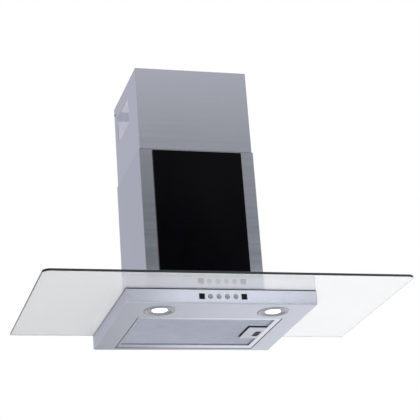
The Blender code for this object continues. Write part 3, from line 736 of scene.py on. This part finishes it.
lower = cover("lower_cover_shell", "lower_chimney", "hood", "lower", 0.001, 0.010, 0.0014)
foot_low, foot_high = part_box("lower_chimney")
for sign in (-1, 1):
    bm = bmesh.new()
    x0, x1 = sorted((sign * 0.1290, sign * 0.1501))
    outline = rounded((x0, x1), (-0.2600, -0.0100), (0.002,) * 4, 4)
    add_prism(bm, outline, "z", (foot_low.z, foot_low.z + 0.001))
    foot = made(f"cover_foot_{'left' if sign < 0 else 'right'}", bm, "hood", ("lower",), (), "brushed_steel")
    cuts = bmesh.new()
    for y in (-0.030, -0.240):
        ring = [
            (sign * 0.1385 + 0.0026 * math.cos(math.tau * i / 20), y + 0.0026 * math.sin(math.tau * i / 20))
            for i in range(20)
        ]
        add_prism(cuts, ring, "z", (foot_low.z - 0.01, foot_low.z + 0.01))
    carve(foot, cuts)

upper = cover("upper_cover_shell", "upper_chimney", "upper_cover", "upper", 0.001, 0.0095, 0.0014)
low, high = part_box("upper_chimney")
slots = bmesh.new()
VENTS, PITCH, WIDE = 12, 0.0113, 0.0064
vent_z = (GLASS_Z + 0.529, GLASS_Z + 0.605)
for i in range(VENTS):
    mid = -0.1000 + PITCH * (i - (VENTS - 1) / 2)
    outline = rounded((mid - WIDE / 2, mid + WIDE / 2), vent_z, (WIDE / 2.001,) * 4, 6)
    add_prism(slots, outline, "x", (-0.2, 0.2))
return_cut = block((low.x + 0.001, -0.0250, GLASS_Z + 0.600), (high.x - 0.001, 0.01, high.z + 0.01))
side_holes = cylinder("x", -0.0095, GLASS_Z + 0.6240, 0.0022, (-0.2, 0.2), 24)
carve(upper, slots, return_cut, side_holes)

# slide strip in the gap between the covers, just proud of the lower cover's top edge; its black also stands in for the
# shade line in that gap, as painted shade
low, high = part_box("lower_chimney")
half, front = high.x - 0.0012, low.y + 0.0012
ulow = near("upper_chimney")
bm = bmesh.new()
outer = [(-half, -0.004), (-half, front), (half, front), (half, -0.004)]
inner_path = [(x * (abs(ulow.x) + 0.0002) / half, y if y > -0.01 else ulow.y - 0.0002) for x, y in outer]
add_prism(bm, outer + inner_path[::-1], "z", (high.z - 0.012, high.z + 0.0014))
strip = made("cover_slide_and_shade_strip", bm, "hood", ("rubber",), (), "rubber")

# black glass panel
refined("black_glass_panel", "panel", 0.0006, 3)

# =====================================================================
# lamps
# =====================================================================
for side in ("left", "right"):
    a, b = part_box(f"lamp_bezel_{side}")
    mid = (a + b) / 2
    z0 = BODY_LOW.z
    profile = [
        (0.0276, z0 + 0.0030),
        (0.0276, z0 - 0.0006),
        (0.0279, z0 - 0.0012),
        (0.0288, z0 - 0.0017),
        (0.0300, z0 - 0.0019),
        (0.0312, z0 - 0.0016),
        (0.0320, z0 - 0.0009),
        (0.0328, z0 - 0.0008),
        (0.0340, z0 - 0.0012),
        (0.0360, z0 - 0.0014),
        (0.0380, z0 - 0.0012),
        (0.0393, z0 - 0.0008),
        (0.0399, z0 - 0.0005),
        (0.0400, z0 - 0.0003),
        (0.0372, z0 - 0.0003),
        (0.0372, z0 + 0.0097),
        (0.0358, z0 + 0.0097),
        (0.0358, z0 + 0.0034),
    ]
    bm = bmesh.new()
    add_lathe(bm, "z", mid.x, mid.y, profile, 96)
    made(f"lamp_ring_{side}", bm, "hood", ("bezel",), (f"lamp_bezel_{side}",), "lamp_metal", angle=50)
    # the clear outer band of the lens, then the lit middle
    bm = bmesh.new()
    profile = [(0.0, z0 + 0.0003), (0.0080, z0 + 0.0004), (0.0135, z0 + 0.0006), (0.0172, z0 + 0.0009)]
    profile += [(0.0182, z0 + 0.0013), (0.0182, z0 + 0.0025), (0.0, z0 + 0.0025)]
    add_lathe(bm, "z", mid.x, mid.y, profile, 96)
    made(f"lamp_disc_{side}", bm, "hood", ("glow",), (f"lamp_lens_{side}",), "lamp_lens", angle=50)
    bm = bmesh.new()
    profile = [(0.0184, z0 + 0.0012), (0.0196, z0 + 0.0004), (0.0210, z0 - 0.0001), (0.0216, z0 + 0.0003), (0.0240, z0 + 0.0000), (0.0262, z0 - 0.0003), (0.0272, z0 + 0.0002), (0.0272, z0 + 0.0024), (0.0184, z0 + 0.0024)]
    add_lathe(bm, "z", mid.x, mid.y, profile, 96)
    made(f"lamp_diffuser_rim_{side}", bm, "hood", ("rim",), (), "lamp_lens", angle=50)
    refined(f"lamp_module_{side}", "alloy", 0.0005)

# =====================================================================
# push buttons
# =====================================================================
for name in ("button_square_left", "button_square_right"):
    a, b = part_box(name)
    mid = (a + b) / 2
    half = 0.00675
    bm = bmesh.new()
    rings = []
    # rings from the plate behind the fascia to the dished face
    for y, size, radius in (
        (a.y + 0.0042, half, 0.0012),
        (a.y + 0.0012, half, 0.0012),
        (a.y + 0.0005, half - 0.0002, 0.0011),
        (a.y + 0.0001, half - 0.0007, 0.0009),
        (a.y + 0.0000, half - 0.0014, 0.0007),
        (a.y + 0.0003, half - 0.0022, 0.0006),
        (a.y + 0.0004, half - 0.0045, 0.0005),
    ):
        outline = rounded(
            (mid.x - size, mid.x + size), (mid.z - size, mid.z + size), (radius,) * 4, 4
        )
        rings.append([bm.verts.new((x, y, z)) for x, z in outline])
    for first, second in zip(rings, rings[1:]):
        for i in range(len(first)):
            j = (i + 1) % len(first)
            bm.faces.new((first[i], first[j], second[j], second[i]))
    bm.faces.new(rings[0])
    bm.faces.new(rings[-1])
    cap = made(f"{name}_cap", bm, f"{name}_body", ("gloss",), (name,), "black_button", angle=60)
    bm = bmesh.new()
    flange = 0.0076
    add_prism(
        bm,
        rounded((mid.x - flange, mid.x + flange), (mid.z - flange, mid.z + flange), (0.001,) * 4, 3),
        "y",
        (a.y + 0.0030, a.y + 0.0040),
    )
    add_lathe(bm, "y", mid.x, mid.z, [(0, a.y + 0.0043), (0.0025, a.y + 0.0043), (0.0025, b.y), (0, b.y)], 24)
    made(f"{name}_stem", bm, f"{name}_body", ("black",), (), "black_plastic")
for n in range(1, 5):
    name = f"button_round_{n}"
    a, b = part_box(name)
    mid = (a + b) / 2
    y = a.y
    bm = bmesh.new()
    profile = [
        (0.0, y + 0.0013),
        (0.0014, y + 0.0012),
        (0.0028, y + 0.0008),
        (0.0038, y + 0.00035),
        (0.0044, y + 0.00005),
        (0.0048, y + 0.0000),
        (0.0052, y + 0.0002),
        (0.0055, y + 0.0007),
        (0.0056, y + 0.0013),
        (0.0056, y + 0.0034),
        (0.0068, y + 0.0034),
        (0.0068, y + 0.0044),
        (0.0025, y + 0.0044),
        (0.0025, b.y),
        (0.0, b.y),
    ]
    add_lathe(bm, "y", mid.x, mid.z, profile, 48)
    made(f"{name}_cap", bm, f"{name}_body", ("button",), (name,), "silver_button", angle=50)
    # a short engraved tick above each round button
    bm = bmesh.new()
    z = mid.z + 0.0118
    add_prism(
        bm,
        rounded((mid.x - 0.0011, mid.x + 0.0011), (z - 0.0005, z + 0.0005), (0.0004,) * 4, 3),
        "y",
        (-0.40604, -0.40590),
    )
    made(f"tick_mark_{n}", bm, "hood", ("grey",), (), "black_plastic")

# =====================================================================
# grease filter
# =====================================================================
refined("filter_frame", "filter", 0.0007, 3)


def expanded_metal(name, x, y, z, pitch_x, pitch_y, strand, thick, shift, notch):
    """One layer of expanded sheet: zigzag strands that meet at every other corner."""
    bm = bmesh.new()
    steps = int((x[1] - x[0]) / (pitch_x / 2))
    rows = int((y[1] - y[0]) / (pitch_y / 2)) - 1
    for row in range(rows):
        centre = y[0] + pitch_y / 2 * (row + 1) + shift[1]
        if not y[0] + pitch_y / 2 < centre < y[1] - pitch_y / 2:
            continue
        previous = None
        for i in range(steps + 1):
            px = x[0] + i * pitch_x / 2 + shift[0]
            if px > x[1] or px < x[0]:
                previous = None
                continue
            up = (i + row) % 2 == 0
            py = centre + (pitch_y / 4 - strand * 0.30) * (1 if up else -1)
            if notch and px > notch[0] and notch[1] < py < notch[2]:
                previous = None
                continue
            tilt = thick * (0.5 if up else -0.5)
            ring = [
                bm.verts.new((px, py - strand / 2, z + tilt - thick / 2)),
                bm.verts.new((px, py + strand / 2, z - tilt - thick / 2)),
                bm.verts.new((px, py + strand / 2, z - tilt + thick / 2)),
                bm.verts.new((px, py - strand / 2, z + tilt + thick / 2)),
            ]
            if previous:
                for k in range(4):
                    bm.faces.new((previous[k], previous[(k + 1) % 4], ring[(k + 1) % 4], ring[k]))
            else:
                bm.faces.new(ring[::-1])
            if previous is None or i == steps:
                pass
            previous = ring
        if previous:
            bm.faces.new(previous)
    return bm


low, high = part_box("filter_mesh")
span_x, span_y = (low.x + 0.001, high.x - 0.001), (low.y + 0.001, high.y - 0.001)
notch = (0.1195, -0.2120, -0.1125)
layers = (
    ("filter_mesh_face", low.z + 0.0007, 0.0062, 0.0044, 0.00095, 0.0005, (0.0, 0.0), 0),
    ("filter_mesh_middle", low.z + 0.0020, 0.0062, 0.0044, 0.00110, 0.0005, (0.0017, 0.0011), 0),
    ("filter_mesh_rear", low.z + 0.0033, 0.0062, 0.0044, 0.00120, 0.0005, (0.0009, 0.0018), 0),
)
for count, (name, z, px, py, strand, thick, shift, _) in enumerate(layers):
    bm = expanded_metal(name, span_x, span_y, z, px, py, strand, thick, shift, notch)
    made(
        name,
        bm,
        "filter",
        ("mesh",),
        ("filter_mesh",) if count == 0 else (),
        "mesh",
        smooth=False,
    )
# the pressed backing sheet, dimpled, that closes the mesh pack
bm = bmesh.new()
cells_x, cells_y = 96, 64
grid = []
for j in range(cells_y + 1):
    line = []
    for i in range(cells_x + 1):
        px = span_x[0] + (span_x[1] - span_x[0]) * i / cells_x
        py = span_y[0] + (span_y[1] - span_y[0]) * j / cells_y
        line.append(bm.verts.new((px, py, high.z - 0.0004 - (0.0004 if (i + j) % 2 else 0.0))))
    grid.append(line)
for j in range(cells_y):
    for i in range(cells_x):
        corner = grid[j][i].co
        if corner.x > notch[0] and notch[1] < corner.y < notch[2]:
            continue
        bm.faces.new((grid[j][i], grid[j][i + 1], grid[j + 1][i + 1], grid[j + 1][i]))
bmesh.ops.delete(bm, geom=[v for v in bm.verts if not v.link_faces], context="VERTS")
backing = made("filter_backing", bm, "filter", ("backing",), (), "mesh", angle=60)
thick = backing.modifiers.new("thick", "SOLIDIFY")
thick.thickness = 0.0003
thick.offset = 1.0

# latch plate with its finger recess, and the ribbed slider behind it
refined("filter_latch_plate", "plate", 0.0003, 3)
low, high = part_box("filter_latch")
bm = bmesh.new()
pad_x = (low.x, low.x + 0.0255)
add_box(bm, (pad_x[0], low.y, low.z + 0.0006), (pad_x[1], high.y, high.z))
ribs = 9
for i in range(ribs):
    y = -0.1555 + 0.0042 * (i - (ribs - 1) / 2)
    profile = [(pad_x[0] + 0.0085, low.z + 0.0008), (pad_x[0] + 0.0230, low.z + 0.0008), (pad_x[0] + 0.0226, low.z), (pad_x[0] + 0.0089, low.z)]
    add_prism(bm, [(px, pz) for px, pz in profile], "y", (y - 0.0009, y + 0.0009))
add_box(bm, (low.x + 0.0235, -0.1615, low.z + 0.0014), (high.x, -0.1495, high.z - 0.0004))
slider = made("filter_latch_slider", bm, "latch", ("slot",), ("filter_latch",), "black_plastic")
soften(slider, 0.00025)
# the latch spring: a copy of the CAD piece with a mesh of its own
spring = refined("latch_spring", "fastener")
settle(spring).modifiers.clear()
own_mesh(spring)

# =====================================================================
# the rest of the CAD pieces: own finishes and eased edges
# =====================================================================
finishes = {
    "upper_bracket": ("zinc", 0.0002),
    "cover_screw_left": ("fastener", 0.0002),
    "cover_screw_right": ("fastener", 0.0002),
    "motor_housing": ("zinc", 0.0003),
    "hanging_plate": ("zinc", 0.0004),
    "hanger_screw_left": ("fastener", 0.0002),
    "hanger_screw_right": ("fastener", 0.0002),
    "housing_screw_left": ("fastener", 0.0002),
    "housing_screw_right": ("fastener", 0.0002),
    "inlet_guard": ("zinc", 0.0003),
    "fan_scroll": ("black", 0.0004),
    "impeller": ("black", 0.0),
    "motor_shaft": ("fastener", 0.0003),
    "motor": ("motor", 0.0006),
    "shaft_bearing_inner": ("chrome", 0.0003),
    "shaft_bearing_outer": ("chrome", 0.0003),
    "motor_bracket": ("zinc", 0.0003),
    "motor_bush_1": ("rubber", 0.0004),
    "motor_bush_2": ("rubber", 0.0004),
    "motor_bush_3": ("rubber", 0.0004),
    "capacitor": ("white", 0.0006),
    "capacitor_strap": ("zinc", 0.0002),
    "terminal_box": ("black", 0.0005),
    "terminal_box_lid": ("black", 0.0004),
    "terminal_block": ("white", 0.0005),
    "cable_gland": ("black", 0.0003),
    "outlet_collar": ("black", 0.0003),
    "damper_pin": ("fastener", 0.0002),
    "damper_flap_left": ("flap", 0.0),
    "damper_flap_right": ("flap", 0.0),
    "button_housing": ("black", 0.0003),
    "control_board": ("board", 0.0002),
    "glass_screw_1": ("fastener", 0.0003),
    "glass_screw_2": ("fastener", 0.0003),
    "glass_screw_3": ("fastener", 0.0003),
    "glass_screw_4": ("fastener", 0.0003),
}
for name, (key, width) in finishes.items():
    refined(name, key, width)

# =====================================================================
# floor, world and lights
# =====================================================================
bm = bmesh.new()
bmesh.ops.create_circle(bm, cap_ends=True, segments=96, radius=6.0)
floor = made("floor", bm, smooth=False)
floor.location = (0, -0.2, GLASS_Z - 5.2)
pale = Nodes("pale_floor").put(Roughness=0.9, Specular_IOR_Level=0.1)
pale.wire(
    pale.ramp(pale.noise((2, 2, 2)), ((0.3, (0.90, 0.90, 0.90)), (0.7, (0.93, 0.93, 0.93)))),
    pale.shader.inputs["Base Color"],
)
floor.data.materials.append(pale.material)

world = bpy.data.worlds.new("studio")
bpy.context.scene.world = world
world.use_nodes = True
tree = world.node_tree
tree.nodes.clear()


def wnode(kind, **settings):
    node = tree.nodes.new(kind)
    for key, value in settings.items():
        setattr(node, key, value)
    return node


def wmath(operation, a, b=0.0, c=0.0):
    node = wnode("ShaderNodeMath", operation=operation)
    for socket, value in zip(node.inputs, (a, b, c)):
        if hasattr(value, "is_linked"):
            tree.links.new(value, socket)
        else:
            socket.default_value = value
    return node.outputs[0]


def wstep(value, start, end, low, high):
    node = wnode("ShaderNodeMapRange", interpolation_type="SMOOTHSTEP")
    for key, number in (
        ("From Min", start),
        ("From Max", end),
        ("To Min", low),
        ("To Max", high),
    ):
        node.inputs[key].default_value = number
    tree.links.new(value, node.inputs["Value"])
    return node.outputs["Result"]


where = wnode("ShaderNodeTexCoord")
split = wnode("ShaderNodeSeparateXYZ")
tree.links.new(where.outputs["Generated"], split.inputs[0])
dx, dy, dz = split.outputs
turn = wmath("DIVIDE", dx, wmath("MAXIMUM", dy, 0.05))
# behind and below: a dark band to the left, which the underside and the glass pick up
band = wmath("MULTIPLY", wstep(turn, 0.09, 0.12, 0.0, 1.0), wstep(turn, 0.246, 0.266, 1.0, 0.0))
below = wmath("SUBTRACT", wmath("SUBTRACT", 1.02, wmath("MULTIPLY", band, 0.74)), wstep(turn, -0.12, -0.02, 0.42, 0.0))
# behind and above: white straight behind, greyer to the left for the hood's left faces
above = wstep(dx, -0.05, 0.05, 0.605, 1.0)
back = wmath("ADD", wmath("MULTIPLY", wstep(dz, -0.05, 0.05, 1.0, 0.0), below), wmath("MULTIPLY", wstep(dz, -0.05, 0.05, 0.0, 1.0), above))
# in front: a dim wall, lighter the higher it is, and lighter low on the right
rise = wnode("ShaderNodeValToRGB")
stops = ((0.0, 0.45), (0.26, 0.34), (0.30, 0.0), (0.335, 0.02), (0.37, 0.31), (0.40, 0.43), (0.43, 0.86), (0.55, 0.95))
while len(rise.color_ramp.elements) < len(stops):
    rise.color_ramp.elements.new(0.5)
for element, (at, number) in zip(rise.color_ramp.elements, stops):
    element.position = at
    element.color = (number, number, number, 1.0)
tree.links.new(dz, rise.inputs["Fac"])
aside = wmath("DIVIDE", dx, wmath("MAXIMUM", wmath("MULTIPLY", dy, -1.0), 0.05))
lift = wmath("MULTIPLY", wstep(aside, 0.26, 0.345, 0.0, 0.24), wstep(dz, 0.34, 0.39, 1.0, 0.0))
ahead_value = wmath("ADD", rise.outputs["Color"], lift)
# elsewhere in front: an even light grey
window = wmath("MULTIPLY", wstep(aside, 0.02, 0.12, 0.0, 1.0), wstep(aside, 0.55, 0.80, 1.0, 0.0))
window = wmath("MULTIPLY", window, wstep(dz, 0.12, 0.22, 0.0, 1.0))
window = wmath("MULTIPLY", window, wstep(dz, 0.55, 0.70, 1.0, 0.0))
ahead_value = wmath("ADD", wmath("MULTIPLY", ahead_value, window), wmath("MULTIPLY", wmath("SUBTRACT", 1.0, window), wstep(dz, -0.12, 0.0, 0.85, 0.60)))
mix = wstep(dy, -0.10, 0.10, 0.0, 1.0)
value = wmath("ADD", wmath("MULTIPLY", back, mix), wmath("MULTIPLY", ahead_value, wmath("SUBTRACT", 1.0, mix)))
colour = wnode("ShaderNodeCombineColor")
for socket in colour.inputs[:2]:
    tree.links.new(value, socket)
# a cooler light from behind and above, for the left faces
cool = wmath("MULTIPLY", wmath("MULTIPLY", mix, wstep(dz, -0.05, 0.05, 0.0, 1.0)), 0.10)
tree.links.new(wmath("MULTIPLY", value, wmath("ADD", cool, 1.0)), colour.inputs[2])
seen = wnode("ShaderNodeLightPath")
studio = wnode("ShaderNodeBackground")
tree.links.new(colour.outputs[0], studio.inputs["Color"])
studio.inputs["Strength"].default_value = 1.0
white = wnode("ShaderNodeBackground")
white.inputs["Color"].default_value = (1, 1, 1, 1)
white.inputs["Strength"].default_value = 1.0
blend = wnode("ShaderNodeMixShader")
straight = wmath("ADD", seen.outputs["Glossy Depth"], seen.outputs["Diffuse Depth"])
straight = wmath("LESS_THAN", straight, 0.5)
tree.links.new(straight, blend.inputs[0])
tree.links.new(studio.outputs[0], blend.inputs[1])
tree.links.new(white.outputs[0], blend.inputs[2])
end = wnode("ShaderNodeOutputWorld")
tree.links.new(blend.outputs[0], end.inputs["Surface"])


def soft_light(name, place, aim, size, power, colour=(1, 1, 1)):
    data = bpy.data.lights.new(name, "AREA")
    data.shape = "RECTANGLE"
    data.size, data.size_y = size
    data.energy = power
    data.color = colour
    lamp = bpy.data.objects.new(name, data)
    bpy.context.scene.collection.objects.link(lamp)
    lamp.location = place
    lamp.rotation_mode = "QUATERNION"
    lamp.rotation_quaternion = (Vector(aim) - Vector(place)).to_track_quat("-Z", "Y")
    lamp.visible_camera = False
    lamp.visible_transmission = False
    return lamp


for name, place, size, power in (
    ("key", (-2.6, -3.2, 2.4), (2.0, 2.0), 30),
    ("fill", (3.0, -3.0, 0.6), (2.5, 2.5), 20),
):
    soft_light(name, place, (0, -0.2, 0), size, power).visible_glossy = False
# light from below that polished faces don't mirror
under = soft_light("under", (0.2, -0.7, GLASS_Z - 2.2), (0, -0.3, GLASS_Z), (3.0, 3.0), 40)
under.visible_glossy = False
# a low bright strip that only the fascia mirrors
strip_light = soft_light("strip", (0.18, -1.05, GLASS_Z + 0.175), (0.05, -0.406, GLASS_Z - 0.02), (1.5, 0.17), 0.95)
strip_light.visible_transmission = True

bpy.context.scene.view_settings.view_transform = "Standard"
bpy.context.scene.view_settings.look = "None"
